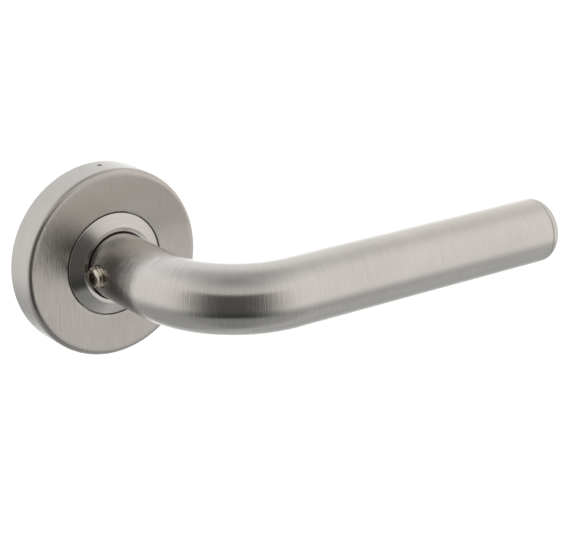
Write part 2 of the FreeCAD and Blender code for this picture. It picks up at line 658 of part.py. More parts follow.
def build_neck_insert(model):
    """The turned insert that is pressed in the tube and takes the square spindle."""
    groove_end = "circlip_start + circlip_sheet + fit_gap"
    side, other = "spindle_side / 2 + fit_gap", "0 - spindle_side / 2 - fit_gap"
    body = model.body("neck_insert")
    model.revolve(body, "insert_turning", [
        ("0", "journal_start"),
        ("journal_radius", "journal_start"),
        ("journal_radius", "circlip_start - fit_gap"),
        ("circlip_groove_radius", "circlip_start - fit_gap"),
        ("circlip_groove_radius", groove_end),
        ("journal_radius", groove_end),
        ("journal_radius", "driver_top"),
        ("tube_radius", "driver_top"),
        ("tube_radius", "tube_foot"),
        ("tube_radius - tube_wall", "tube_foot"),
        ("tube_radius - tube_wall", "insert_length"),
        ("0", "insert_length"),
    ])
    dogs = model.sketch(body, "dog_outline", "XY_Plane", z="driver_height")
    model.rectangle(dogs, "0 - dog_reach", "0 - dog_width / 2", "dog_reach", "dog_width / 2")
    model.pad(body, "driving_dogs", dogs, "driver_thickness")
    bore = model.sketch(body, "spindle_bore_outline", "XY_Plane")
    model.rectangle(bore, other, other, side, side)
    model.cut(body, "Pocket", "spindle_bore", bore, Length="insert_length + 1",
              Reversed=True)
    cut_grub_hole(model, body, "insert_grub", "grub_radius + fit_gap")
    turned = Placement(Vector(), Rotation(Vector(0, 1, 0), 90))
    notch = model.sketch(body, "tang_notch_outline", "XZ_Plane", turned)
    notch.setExpression(".AttachmentOffset.Rotation.Angle", model.linked("tang_angle"))
    model.rectangle(notch, "spring_tang_reach - free_gap",
                    "spring_end - spring_wire - spring_slot_gap", "tube_radius + 1", "tube_foot")
    model.cut(body, "Groove", "tang_notch", notch, ReferenceAxis=(notch, ["V_Axis"]),
              Midplane=True, Angle="2 * asin((spring_wire + spring_slot_gap) / spring_tang_reach)")
    model.keep(body, "neck_insert")


def cut_grub_hole(model, body, name, radius):
    """Cuts the grub screw's hole, which opens on the side away from the arm."""
    spot = model.sketch(body, name + "_spot", "YZ_Plane")
    model.circle(spot, "0", "grub_height", radius)
    model.cut(body, "Pocket", name + "_hole", spot, Length="tube_radius + 1")


def build_lever_tube(model):
    """The lever tube: a straight neck, a quarter bend and a straight arm."""
    body = model.body("lever_tube")
    path = model.sketch(body, "lever_path", "XZ_Plane")
    bend_low = "projection - bend_radius"
    arm_end = "lever_reach - tip_length"
    model.bent_path(path, ("0", "tube_foot"), ("0", bend_low), ("bend_radius", "projection"),
                    (arm_end, "projection"), ("bend_radius", bend_low), "bend_radius")
    ring = model.sketch(body, "tube_outline", "XY_Plane", z="tube_foot")
    model.circle(ring, "0", "0", "tube_radius")
    model.circle(ring, "0", "0", "tube_radius - tube_wall")
    pipe = body.newObject("PartDesign::AdditivePipe", "bent_tube")
    pipe.Profile = ring
    pipe.Spine = (path, ["Edge1", "Edge2", "Edge3"])
    model.doc.recompute()
    cut_grub_hole(model, body, "tube_grub", "grub_radius + free_gap")
    model.keep(body, "lever_tube")


def build_tip_cap(model):
    """The rounded cap that closes the end of the arm; its local z runs along the arm."""
    start = "lever_reach - tip_length"
    body = model.body("tip_cap", Placement(Vector(), Rotation(Vector(0, 1, 0), 90)))
    model.bind(body, **{".Placement.Base.y": "0 - projection"})
    model.revolve(body, "cap_turning", [
        ("0", f"{start} - tip_spigot"),
        ("tube_radius - tube_wall - fit_gap", f"{start} - tip_spigot"),
        ("tube_radius - tube_wall - fit_gap", start),
        ("tube_radius", start),
        ("tube_radius", "lever_reach"),
        ("0", "lever_reach"),
    ])
    model.dress(body, "Fillet", "cap_round", "tip_edge", [("tube_radius", "lever_reach")])
    model.keep(body, "tip_cap")


def build_spindle(model):
    """The square spindle that goes through the door to the lock."""
    low = "0 - spindle_proud"
    body = model.body("spindle")
    square = model.sketch(body, "spindle_outline", "XY_Plane", z=low)
    half, least = "spindle_side / 2", "0 - spindle_side / 2"
    near, far = "spindle_side / 2 - spindle_edge", "0 - spindle_side / 2 + spindle_edge"
    model.outline(square, [
        (least, far), (far, least), (near, least), (half, far),
        (half, near), (near, half), (far, half), (least, near),
    ])
    model.pad(body, "spindle_bar", square, "spindle_length")
    spot = model.sketch(body, "bearing_spot", "YZ_Plane", z="spindle_spot - spindle_side / 2")
    model.circle(spot, "0", "grub_height", "grub_radius + free_gap")
    model.cut(body, "Pocket", "bearing_spot_cut", spot, Length="spindle_side")
    model.keep(body, "spindle")


def build_grub_screw(model):
    """The cup-pointed grub screw; its local z runs out of the neck, away from the arm."""
    start = "spindle_side / 2 - spindle_spot + axial_gap"
    end = f"{start} + grub_length"
    body = model.body("grub_screw", Placement(Vector(), Rotation(Vector(0, 1, 0), -90)))
    model.bind(body, **{".Placement.Base.y": "0 - grub_height"})
    model.revolve(body, "grub_turning", [
        ("0", f"{start} + grub_chamfer"),
        ("grub_radius - grub_chamfer * 2", start),
        ("grub_radius - grub_chamfer", start),
        ("grub_radius", f"{start} + grub_chamfer"),
        ("grub_radius", f"{end} - grub_chamfer"),
        ("grub_radius - grub_chamfer", end),
        ("0", end),
    ])
    cut_thread(model, body, start, end)
    socket = model.sketch(body, "grub_socket_outline", "XY_Plane", z=end)
    model.hexagon(socket, "grub_socket")
    model.cut(body, "Pocket", "grub_socket_cut", socket, Length="grub_socket_depth")
    model.keep(body, "grub_screw")


def cut_thread(model, body, start, end):
    """Cuts the grub screw's thread as one helical V groove."""
    vee = model.sketch(body, "thread_outline", "XZ_Plane")
    root = "grub_radius - grub_thread_depth"
    out = "grub_radius + grub_thread_depth * 0.2"
    narrow, wide = "grub_pitch * 0.08", "grub_pitch * 0.48"
    low = f"{start} - grub_pitch"
    model.outline(vee, [
        (root, f"{low} - {narrow}"),
        (out, f"{low} - {wide}"),
        (out, f"{low} + {wide}"),
        (root, f"{low} + {narrow}"),
    ])
    thread = body.newObject("PartDesign::SubtractiveHelix", "grub_thread")
    thread.Profile = vee
    thread.ReferenceAxis = (vee, ["V_Axis"])
    thread.Mode = "pitch-height-angle"
    model.bind(thread, Pitch="grub_pitch", Height="grub_length + grub_pitch * 2")
    model.doc.recompute()


def build_return_spring(model):
    """The torsion spring that lifts the lever back: one wire from its leg to its tang."""
    radius, wire = model.value("spring_radius"), model.value("spring_wire")
    bend, rise = model.value("spring_bend"), model.value("spring_end - spring_start")
    coils = Part.makeHelix(model.value("spring_pitch"), rise, radius, 0, True).Edges
    start, setting_out = end_of_edge(coils[0], coils[0].FirstParameter)
    end, onward = end_of_edge(coils[-1], coils[-1].LastParameter)
    inward = Vector(-end.x, -end.y, 0).normalize()
    leg_end = start - setting_out * model.value("spring_leg")
    half_way = end + onward * (bend * math.sin(math.pi / 4))
    half_way += inward * (bend * (1 - math.cos(math.pi / 4)))
    tang_start = end + (onward + inward) * bend
    tang_end = tang_start + inward * (radius - bend - model.value("spring_tang_reach"))
    line = Part.Wire([
        Part.makeLine(leg_end, start),
        *coils,
        Part.Arc(end, half_way, tang_start).toShape(),
        Part.makeLine(tang_start, tang_end),
    ])
    section = Part.Wire([Part.Circle(leg_end, setting_out, wire).toShape()])
    spring = model.doc.addObject("Part::Feature", "spring_wire_form")
    spring.Shape = line.makePipeShell([section], True, True)
    local = Placement(Vector(), Rotation(ALONG_Z, -90))
    model.keep(spring, "return_spring", FROM_DOOR.multiply(local))
    model.bind(spring, **{".Placement.Base.y": "0 - spring_start"})


def end_of_edge(edge, parameter):
    """Returns the point and the direction of an edge at one of its ends."""
    return edge.valueAt(parameter), edge.tangentAt(parameter)


def build_snap_ring(model):
    """The open wire ring around the base plate that the cover snaps over."""
    middle = "cover_radius - cover_wall - snap_wire - fit_gap * 2"
    ring = model.add("Part::Torus", "snap_ring_wire", Radius1=middle, Radius2="snap_wire",
                     Angle3="360 - snap_mouth")
    turned = Placement(Vector(), Rotation(ALONG_Z, 90 + model.value("snap_mouth") / 2))
    model.keep(ring, "snap_ring", FROM_DOOR.multiply(turned))
    model.bind(ring, **{".Placement.Base.y": "0 - snap_height"})


def build_support_sleeves(model):
    """The two threaded sleeves that reach into the door and take the through screws."""
    body = model.body("sleeve")
    model.bind(body, **{".Placement.Base.x": "sleeve_spacing / 2"})
    model.revolve(body, "sleeve_turning", [
        ("sleeve_thread_radius", "0 - sleeve_proud"),
        ("sleeve_radius - sleeve_chamfer", "0 - sleeve_proud"),
        ("sleeve_radius", "sleeve_chamfer - sleeve_proud"),
        ("sleeve_radius", "0"),
        ("sleeve_spigot_radius", "0"),
        ("sleeve_spigot_radius", "sleeve_seat"),
        ("0", "sleeve_seat"),
        ("0", "sleeve_thread_depth - sleeve_proud"),
        ("sleeve_thread_radius", "sleeve_thread_depth - sleeve_proud"),
    ])
    model.keep_pair(body, "support_sleeves", Vector(1, 0, 0))


def build_wood_screws(model):
    """The two countersunk wood screws that hold the base plate to the door."""
    up = "screw_spacing / 2"
    seat = "screw_head_height - screw_head_radius + screw_shank_radius"
    end = "screw_head_height - screw_length"
    body = model.body("wood_screw")
    model.bind(body, **{".Placement.Base.z": up})
    model.revolve(body, "screw_turning", [
        ("0", end),
        ("screw_radius", f"{end} + screw_point"),
        ("screw_radius", "0 - free_gap"),
        ("screw_shank_radius", "0 - free_gap"),
        ("screw_shank_radius", seat),
        ("screw_head_radius", "screw_head_height"),
        ("0", "screw_head_height"),
    ])
    cross = model.sketch(body, "screw_cross_outline", "XY_Plane", z="screw_head_height")
    reach, side = "screw_cross_reach", "screw_cross_width / 2"
    model.outline(cross, [
        (reach, f"0 - {side}"), (reach, side), (side, side), (side, reach),
        (f"0 - {side}", reach), (f"0 - {side}", side), (f"0 - {reach}", side),
        (f"0 - {reach}", f"0 - {side}"), (f"0 - {side}", f"0 - {side}"),
        (f"0 - {side}", f"0 - {reach}"), (side, f"0 - {reach}"), (side, f"0 - {side}"),
    ])
    model.cut(body, "Pocket", "screw_cross", cross, Length="screw_cross_depth")
    model.keep_pair(body, "wood_screws", Vector(0, 0, 1))


def build_lock_screw(model):
    """The small set screw behind the rim hole; its local z runs up out of the rim."""
    body = model.body("lock_screw", Placement())
    model.bind(body, **{".Placement.Base.y": "0 - rim_hole_height"})
    end = "lock_start + lock_length"
    model.revolve(body, "lock_turning", [
        ("0", "lock_start"),
        ("lock_radius - lock_chamfer", "lock_start"),
        ("lock_radius", "lock_start + lock_chamfer"),
        ("lock_radius", f"{end} - lock_chamfer"),
        ("lock_radius - lock_chamfer", end),
        ("0", end),
    ])
    socket = model.sketch(body, "lock_socket_outline", "XY_Plane", z=end)
    model.hexagon(socket, "lock_socket")
    model.cut(body, "Pocket", "lock_socket_cut", socket, Length="lock_socket_depth")
    model.keep(body, "lock_screw")


def main():
    """Builds every sub-part, checks them and writes them."""
    model = Model()
    for build in (
        build_rose_cover,
        build_base_plate,
        build_collar,
        build_neck_bush,
        build_rear_bush,
        build_thrust_washer,
        build_stop_pins,
        build_snap_ring,
        build_return_spring,
        build_support_sleeves,
        build_wood_screws,
        build_lock_screw,
        build_lever_tube,
        build_tip_cap,
        build_neck_insert,
        build_driver_plate,
        build_disc_spring,
        build_circlip,
        build_spindle,
        build_grub_screw,
    ):
        build(model)
    model.doc.recompute()
    model.check()
    model.write()


main()
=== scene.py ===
"""The looks of a round-rose door lever handle.

The brushed steel that is in sight, which is the rose cover, the collar, the lever tube and its
tip, is built here as fine meshes over the CAD nodes of the same names. Everything else keeps its
CAD mesh and gets its finish. Lengths are in metres in the model frame: the door is the XZ plane,
the handle stands out of it along -Y, the arm points along +X and +Z is up.
"""

import logging
import math
from collections.abc import Callable, Sequence
from dataclasses import dataclass, field
from enum import Enum
from typing import Any

import bpy
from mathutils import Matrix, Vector


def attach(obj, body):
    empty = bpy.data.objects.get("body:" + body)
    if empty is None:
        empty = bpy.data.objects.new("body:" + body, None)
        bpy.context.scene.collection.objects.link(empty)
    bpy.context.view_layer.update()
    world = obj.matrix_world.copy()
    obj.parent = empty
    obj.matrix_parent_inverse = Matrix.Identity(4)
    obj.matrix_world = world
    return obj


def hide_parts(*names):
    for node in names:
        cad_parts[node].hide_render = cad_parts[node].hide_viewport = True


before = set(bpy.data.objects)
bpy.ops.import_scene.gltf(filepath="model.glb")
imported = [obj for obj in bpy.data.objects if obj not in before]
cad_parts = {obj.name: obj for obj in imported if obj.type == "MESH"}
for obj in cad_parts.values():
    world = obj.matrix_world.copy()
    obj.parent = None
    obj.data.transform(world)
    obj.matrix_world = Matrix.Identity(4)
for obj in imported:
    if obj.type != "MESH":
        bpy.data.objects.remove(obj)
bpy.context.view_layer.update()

LOG = logging.getLogger("lever_handle")
MM = 0.001
GRAIN = "grain"
STEEP = 0.35

Colour = tuple[float, float, float]
Point = tuple[float, float, float]
GrainRule = Callable[[float, float, Point], Point]
Row = tuple[list[int], list[Point]]


# --------------------------------------------------------------------------- shader writing


class Value:
    """A number on a node's socket; arithmetic on it adds Math nodes."""

    def __init__(self, graph: "Graph", socket: bpy.types.NodeSocket | None) -> None:
        """Keeps the graph that the socket belongs to.

        Args:
            graph: The graph that new Math nodes go in.
            socket: The output that carries the number, or None behind an output node.
        """
        self.graph = graph
        self.socket = socket

    def math(self, operation: str, *terms: Any) -> "Value":
        """Adds a Math node.

        Args:
            operation: The Math node's operation.
            *terms: Its inputs, in order, each a Value or a number.

        Returns:
            The node's result.
        """
        return self.graph.node(
            "ShaderNodeMath", {"operation": operation}, dict(enumerate(terms))
        )

    def __add__(self, other: Any) -> "Value":
        """Adds a number."""
        return self.math("ADD", self, other)

    def __sub__(self, other: Any) -> "Value":
        """Takes a number away."""
        return self.math("SUBTRACT", self, other)

    def __rsub__(self, other: Any) -> "Value":
        """Is taken away from a number."""
        return self.math("SUBTRACT", other, self)

    def __mul__(self, other: Any) -> "Value":
        """Multiplies by a number."""
        return self.math("MULTIPLY", self, other)

    def __pow__(self, other: Any) -> "Value":
        """Raises to a power."""
        return self.math("POWER", self, other)

    __radd__ = __add__
    __rmul__ = __mul__

    def size(self) -> "Value":
        """Drops the number's sign."""
        return self.math("ABSOLUTE", self)

    def step(self, low: float, high: float) -> "Value":
        """Rises smoothly from 0 at low to 1 at high.

        Args:
            low: Where the rise starts.
            high: Where it ends.

        Returns:
            A number from 0 to 1.
        """
        return self.graph.node(
            "ShaderNodeMapRange",
            {"interpolation_type": "SMOOTHSTEP"},
            {"Value": self, "From Min": low, "From Max": high},
        )

    def band(self, low: float, high: float, soft: float) -> "Value":
        """Is 1 between low and high and 0 outside them, with soft edges.

        Args:
            low: Middle of the lower edge.
            high: Middle of the upper edge.
            soft: Half the width of an edge.

        Returns:
            A number from 0 to 1.
        """
        return self.step(low - soft, low + soft) * (1 - self.step(high - soft, high + soft))

    def toward(self, other: Any, share: "Value") -> "Value":
        """Goes from this number to another.

        Args:
            other: The number at a share of 1.
            share: How far to go, from 0 to 1.

        Returns:
            The number in between.
        """
        return self + share * (other - self)


class Graph:
    """A node tree that is written with calls and Python expressions."""

    def __init__(self, tree: bpy.types.NodeTree) -> None:
        """Empties a tree and keeps it.

        Args:
            tree: The tree of a material or a world.
        """
        self.tree = tree
        tree.nodes.clear()

    def node(
        self,
        kind: str,
        settings: dict[str, Any] | None = None,
        inputs: dict[Any, Any] | None = None,
        output: Any = 0,
    ) -> Value:
        """Adds a node of any kind.

        Args:
            kind: The node's type.
            settings: Its properties, which are set first.
            inputs: Values or links for its sockets, by name or number.
            output: Name or number of the output that is wanted.

        Returns:
            The wanted output.
        """
        made = self.tree.nodes.new(kind)
        for name, value in (settings or {}).items():
            setattr(made, name, value)
        for name, value in (inputs or {}).items():
            socket = made.inputs[name]
            if isinstance(value, Value):
                self.tree.links.new(value.socket, socket)
            elif isinstance(value, tuple) and len(value) == 3 and socket.type == "RGBA":
                socket.default_value = (*value, 1.0)
            else:
                socket.default_value = value
        return Value(self, made.outputs[output] if made.outputs else None)

    def parts(self, vector: Value) -> tuple[Value, Value, Value]:
        """Takes a vector apart.

        Args:
            vector: The vector.

        Returns:
            Its three parts.
        """
        outputs = self.node("ShaderNodeSeparateXYZ", inputs={0: vector}).socket.node.outputs
        return Value(self, outputs[0]), Value(self, outputs[1]), Value(self, outputs[2])

    def stretched(self, vector: Value, scale: Point) -> Value:
        """Multiplies a vector by three factors.

        Args:
            vector: The vector.
            scale: The factor of each of its parts.

        Returns:
            The stretched vector.
        """
        return self.node("ShaderNodeVectorMath", {"operation": "MULTIPLY"}, {0: vector, 1: scale})

    def noise(self, vector: Value, detail: float = 2.0, roughness: float = 0.5) -> Value:
        """Adds a noise of one period per unit of a vector.

        Args:
            vector: Where the noise is read.
            detail: Its number of octaves.
            roughness: How strong each finer octave is.

        Returns:
            A number around one half.
        """
        return self.node(
            "ShaderNodeTexNoise",
            inputs={"Vector": vector, "Scale": 1.0, "Detail": detail, "Roughness": roughness},
        )

    def blend(self, share: Value, low: Any, high: Any) -> Value:
        """Mixes two colours.

        Args:
            share: 0 for the first colour and 1 for the second.
            low: The first colour, or a link to one.
            high: The second colour, or a link to one.

        Returns:
            The mixed colour.
        """
        return self.node(
            "ShaderNodeMix",
            {"data_type": "RGBA"},
            {"Factor": share, 6: low, 7: high},
            output=2,
        )

    def bump(self, height: Value, depth: float) -> Value:
        """Turns a height into a normal.

        Args:
            height: The height, from 0 to 1.
            depth: The depth in metres that a height of 1 stands for.

        Returns:
            The normal.
        """
        return self.node("ShaderNodeBump", inputs={"Height": height, "Distance": depth})


def new_surface(name: str) -> tuple[bpy.types.Material, Graph]:
    """Makes an empty material.

    Args:
        name: The material's name.

    Returns:
        The material and its graph.
    """
    material = bpy.data.materials.new(name)
    material.use_nodes = True
    return material, Graph(material.node_tree)


def finish_surface(graph: Graph, **inputs: Any) -> None:
    """Ends a material's graph with its shader.

    Args:
        graph: The material's graph.
        **inputs: The shader's inputs, with underscores for the spaces in their names.
    """
    sockets = {name.replace("_", " "): value for name, value in inputs.items()}
    shader = graph.node("ShaderNodeBsdfPrincipled", inputs=sockets)
    graph.node("ShaderNodeOutputMaterial", inputs={"Surface": shader})


# --------------------------------------------------------------------------- finishes


class Lay(Enum):
    """Where the fine lines of a metal's finish run."""

    STORED = "as the mesh's own grain says"
    TURNED = "in circles around the spindle"
    DRAWN = "along the spindle"


def lay_vector(graph: Graph, lay: Lay) -> Value:
    """Gives a vector whose first part runs across the finish's lines.

    Args:
        graph: The material's graph.
        lay: How the lines run.

    Returns:
        The vector, in metres.
    """
    if lay is Lay.STORED:
        return graph.node("ShaderNodeAttribute", {"attribute_name": GRAIN}, output="Vector")
    x, y, z = graph.parts(graph.node("ShaderNodeTexCoord", output="Object"))
    if lay is Lay.DRAWN:
        return graph.node("ShaderNodeCombineXYZ", inputs={0: x + z, 1: y, 2: x - z})
    reach = (x * x + z * z) ** 0.5
    return graph.node("ShaderNodeCombineXYZ", inputs={0: reach + y, 1: x * 0.2, 2: z * 0.2})


@dataclass(frozen=True)
class BrushedSteel:
    """Stainless steel with fine parallel lines."""

    name: str
    tone: Colour = (0.655, 0.635, 0.61)
    shade: Colour = (0.56, 0.54, 0.515)
    roughness: float = 0.17
    line: float = 0.24 * MM
    length: float = 9 * MM
    depth: float = 0.02 * MM

    def material(self) -> bpy.types.Material:
        """Makes the finish.

        Returns:
            The material.
        """
        material, graph = new_surface(self.name)
        grain = lay_vector(graph, Lay.STORED)
        lines = graph.noise(
            graph.stretched(grain, (1 / self.line, 1 / self.length, 1 / self.length)), 3.0, 0.6
        )
        cloud = graph.noise(graph.stretched(grain, (40.0, 70.0, 70.0)), 2.0)
        scratch = graph.noise(graph.stretched(grain, (5200.0, 160.0, 160.0)), 1.0).step(0.66, 0.8)
        share = lines.step(0.3, 0.7) * 0.45 + cloud.step(0.3, 0.7) * 0.35 + scratch * 0.2
        rough = self.roughness + (lines - 0.5) * 0.1 + (cloud - 0.5) * 0.08
        finish_surface(
            graph,
            Base_Color=graph.blend(share, self.tone, self.shade),
            Metallic=1.0,
            Roughness=rough,
            Normal=graph.bump(lines - scratch * 0.3, self.depth),
        )
        return material


@dataclass(frozen=True)
class PlainMetal:
    """A metal that was turned, drawn or pressed, and perhaps plated."""

    name: str
    tone: Colour
    shade: Colour
    roughness: float
    lay: Lay = Lay.TURNED
    depth: float = 0.006 * MM

    def material(self) -> bpy.types.Material:
        """Makes the finish.

        Returns:
            The material.
        """
        material, graph = new_surface(self.name)
        grain = lay_vector(graph, self.lay)
        lines = graph.noise(graph.stretched(grain, (3200.0, 500.0, 500.0)), 3.0, 0.6)
        place = graph.node("ShaderNodeTexCoord", output="Object")
        cloud = graph.noise(graph.stretched(place, (260.0, 260.0, 260.0)), 3.0, 0.6)
        share = cloud.step(0.35, 0.7) * 0.7 + lines.step(0.4, 0.75) * 0.3
        finish_surface(
            graph,
            Base_Color=graph.blend(share, self.tone, self.shade),
            Metallic=1.0,
            Roughness=self.roughness + (cloud - 0.5) * 0.2,
            Normal=graph.bump(lines, self.depth),
        )
        return material


@dataclass(frozen=True)
class CastMetal:
    """A die-casting with a slightly pebbled skin."""

    name: str
    tone: Colour
    shade: Colour
    roughness: float = 0.5

    def material(self) -> bpy.types.Material:
        """Makes the finish.

        Returns:
            The material.
        """
        material, graph = new_surface(self.name)
        place = graph.node("ShaderNodeTexCoord", output="Object")
        pebble = graph.noise(graph.stretched(place, (1500.0, 1500.0, 1500.0)), 3.0, 0.6)
        flow = graph.noise(graph.stretched(place, (120.0, 120.0, 120.0)), 3.0, 0.55)
        finish_surface(
            graph,
            Base_Color=graph.blend(flow.step(0.3, 0.7), self.tone, self.shade),
            Metallic=0.85,
            Roughness=self.roughness + (pebble - 0.5) * 0.25,
            Normal=graph.bump(pebble, 0.03 * MM),
        )
        return material


@dataclass(frozen=True)
class Nylon:
    """Moulded nylon."""

    name: str
    tone: Colour
    shade: Colour
    roughness: float = 0.45

    def material(self) -> bpy.types.Material:
        """Makes the finish.

        Returns:
            The material.
        """
        material, graph = new_surface(self.name)
        place = graph.node("ShaderNodeTexCoord", output="Object")
        skin = graph.noise(graph.stretched(place, (1800.0, 1800.0, 1800.0)), 2.0)
        cloud = graph.noise(graph.stretched(place, (150.0, 150.0, 150.0)), 2.0)
        finish_surface(
            graph,
            Base_Color=graph.blend(cloud.step(0.3, 0.7), self.tone, self.shade),
            Roughness=self.roughness + (skin - 0.5) * 0.2,
            Normal=graph.bump(skin, 0.008 * MM),
        )
        return material


# --------------------------------------------------------------------------- mesh building


@dataclass
class Shell:
    """Rows of points joined into a closed skin, with a grain kept at each face corner."""

    name: str
    points: list[Point] = field(default_factory=list)
    faces: list[tuple[int, ...]] = field(default_factory=list)
    grains: list[tuple[Point, ...]] = field(default_factory=list)

    def row(self, points: Sequence[Point]) -> list[int]:
        """Adds points.

        Args:
            points: The points of one closed row.

        Returns:
            Their numbers.
        """
        start = len(self.points)
        self.points.extend(points)
        return list(range(start, start + len(points)))

    def join(
        self,
        low: list[int],
        high: list[int],
        low_grain: Sequence[Point],
        high_grain: Sequence[Point],
    ) -> None:
        """Joins two closed rows of the same length with quads.

        Args:
            low: Numbers of the first row's points.
            high: Numbers of the second row's points.
            low_grain: The grain at each point of the first row.
            high_grain: The grain at each point of the second row.
        """
        count = len(low)
        for i in range(count):
            j = (i + 1) % count
            self.faces.append((low[i], low[j], high[j], high[i]))
            self.grains.append((low_grain[i], low_grain[j], high_grain[j], high_grain[i]))

    def cap(self, row: list[int], middle: Point, grains: Sequence[Point], turned: bool) -> None:
        """Closes a row with a fan.

        Args:
            row: Numbers of the row's points.
            middle: The fan's middle point.
            grains: The grain at each point of the row.
            turned: Whether the fan winds the other way.
        """
        self.points.append(middle)
        hub = len(self.points) - 1
        count = len(row)
        for i in range(count):
            j = (i + 1) % count
            a, b = (j, i) if turned else (i, j)
            self.faces.append((row[a], row[b], hub))
            self.grains.append((grains[a], grains[b], grains[a]))

    def build(self) -> bpy.types.Object:
        """Makes the object, smooth, with its faces wound as they were added.

        Returns:
            The object, linked to the scene.
        """
        mesh = bpy.data.meshes.new(self.name)
        mesh.from_pydata(self.points, [], self.faces)
        layer = mesh.attributes.new(GRAIN, "FLOAT_VECTOR", "CORNER")
        flat = [part for corners in self.grains for grain in corners for part in grain]
        layer.data.foreach_set("vector", flat)
        mesh.polygons.foreach_set("use_smooth", [True] * len(mesh.polygons))
        mesh.update()
        made = bpy.data.objects.new(self.name, mesh)
        bpy.context.scene.collection.objects.link(made)
        return made


def rounded(corners: Sequence[tuple[float, float, float]], steps: int = 8) -> list[list[float]]:
    """Rounds the corners of a closed outline.

    Args:
        corners: Across, along and rounding radius of each corner, in order.
        steps: Number of pieces in a rounded corner.

    Returns:
        The outline's points, each across and along.
    """
    count = len(corners)
    outline: list[list[float]] = []
    for i, (across, along, radius) in enumerate(corners):
        here = Vector((across, along))
        if radius <= 0:
            outline.append([across, along])
            continue
        before = (Vector(corners[i - 1][:2]) - here).normalized()
        after = (Vector(corners[(i + 1) % count][:2]) - here).normalized()
        half = before.angle(after) / 2
        reach = radius / math.tan(half)
        middle = here + (before + after).normalized() * (radius / math.sin(half))
        start, end = here + before * reach - middle, here + after * reach - middle
        whole = start.angle(end)
        for k in range(steps + 1):
            t = k / steps
            spot = middle + (
                start * math.sin((1 - t) * whole) + end * math.sin(t * whole)
            ) / math.sin(whole)
            outline.append([spot.x, spot.y])
    return outline


def divided(outline: list[list[float]], longest: float) -> list[list[float]]:
    """Splits the long sides of a closed outline.

    Args:
        outline: The outline's points.
        longest: The longest side to leave whole.

    Returns:
        The outline with more points.
    """
    fine: list[list[float]] = []
    for i, (across, along) in enumerate(outline):
        following = outline[(i + 1) % len(outline)]
        length = math.dist((across, along), following)
        parts = max(1, math.ceil(length / longest))
        for k in range(parts):
            t = k / parts
            fine.append([across + (following[0] - across) * t, along + (following[1] - along) * t])
    return fine


def turn_profile(
    name: str, outline: list[list[float]], segments: int, rule: GrainRule
) -> bpy.types.Object:
    """Turns a closed outline about the spindle's axis.

    Args:
        name: The object's name.
        outline: Radius and distance from the door of each point, clockwise.
        segments: Number of segments around the axis.
        rule: Gives the grain from the angle, the length along the outline and the place.

    Returns:
        The object.
    """
    shell = Shell(name)
    angles = [2 * math.pi * i / segments for i in range(segments)]
    lengths = [0.0]
    for here, there in zip(outline, outline[1:] + outline[:1]):
        lengths.append(lengths[-1] + math.dist(here, there))
    rows, places = [], []
    for radius, out in outline:
        ring = [(radius * math.cos(a), -out, radius * math.sin(a)) for a in angles]
        rows.append(shell.row(ring))
        places.append(ring)
    for i, (here, there) in enumerate(zip(outline, outline[1:] + outline[:1])):
        j = (i + 1) % len(outline)
        steep = abs(here[1] - there[1]) > STEEP * math.dist(here, there)
        side = rim_grain if rule is face_grain and steep else rule
        low = [side(a, lengths[i], p) for a, p in zip(angles, places[i])]
        high = [side(a, lengths[i + 1], p) for a, p in zip(angles, places[j])]
        shell.join(rows[i], rows[j], low, high)
    return shell.build()


def ring_grain(angle: float, length: float, place: Point) -> Point:
    """Lines that run in circles: across is the length along the outline."""
    reach = math.hypot(place[0], place[2])
    return (length, reach * math.cos(angle), reach * math.sin(angle))


def rim_grain(angle: float, length: float, place: Point) -> Point:
    """Lines that run around the rim: across is the distance from the door."""
    reach = math.hypot(place[0], place[2])
    return (place[1], reach * math.cos(angle), reach * math.sin(angle))


def face_grain(angle: float, length: float, place: Point) -> Point:
    """Lines that run up and down the face."""
    return (place[0], place[2], place[1])


def cut_away(target: bpy.types.Object, cutter: bpy.types.Object) -> None:
    """Cuts one object out of another and drops the cutter.

    Args:
        target: The object that is cut.
        cutter: The object whose volume is taken out.
    """
    modifier = target.modifiers.new("cut", "BOOLEAN")
    modifier.operation = "DIFFERENCE"
    modifier.solver = "EXACT"
    modifier.object = cutter
    bpy.context.view_layer.update()
    graph = bpy.context.evaluated_depsgraph_get()
    result = bpy.data.meshes.new_from_object(target.evaluated_get(graph))
    target.modifiers.clear()
    target.data = result
    bpy.data.objects.remove(cutter)


def drill(
    name: str, start: Vector, along: Vector, steps: Sequence[tuple[float, float]], sides: int = 96
) -> bpy.types.Object:
    """Makes the solid that a drill sweeps.

    Args:
        name: The object's name.
        start: The middle of the drill's first ring.
        along: The direction of the drill's axis.
        steps: Distance from the start and radius of each ring.
        sides: Number of sides.

    Returns:
        The object.
    """
    turn = Vector((0, 0, 1)).rotation_difference(along).to_matrix().to_4x4()
    shell = Shell(name)
    rows = []
    for distance, radius in steps:
        ring = []
        for i in range(sides):
            a = 2 * math.pi * i / sides
            spot = Vector((radius * math.cos(a), radius * math.sin(a), distance))
            ring.append(tuple(turn @ spot + start))
        rows.append(shell.row(ring))
    plain = [(0.0, 0.0, 0.0)] * sides
    for low, high in zip(rows, rows[1:]):
        shell.join(low, high, plain, plain)
    first, last = steps[0][0], steps[-1][0]
    shell.cap(rows[0], tuple(start + along * first), plain, True)
    shell.cap(rows[-1], tuple(start + along * last), plain, False)
    return shell.build()


def dress(thing: bpy.types.Object, material: bpy.types.Material) -> None:
    """Gives an object one material.

    Args:
        thing: The object.
        material: Its material.
    """
    if thing.material_slots:
        for held in thing.material_slots:
            held.material = material
    else:
        thing.data.materials.append(material)


def place(thing: bpy.types.Object, body: str, nodes: Sequence[str], slot: str) -> None:
    """Puts a new piece in place of CAD nodes.

    Args:
        thing: The piece.
        body: The CAD body that it rides on.
        nodes: The CAD nodes that it stands for.
        slot: A material slot's name; not used.
    """
    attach(thing, body)
    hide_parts(*nodes)
    LOG.info("%s: %d faces", thing.name, len(thing.data.polygons))


# --------------------------------------------------------------------------- sub-assemblies


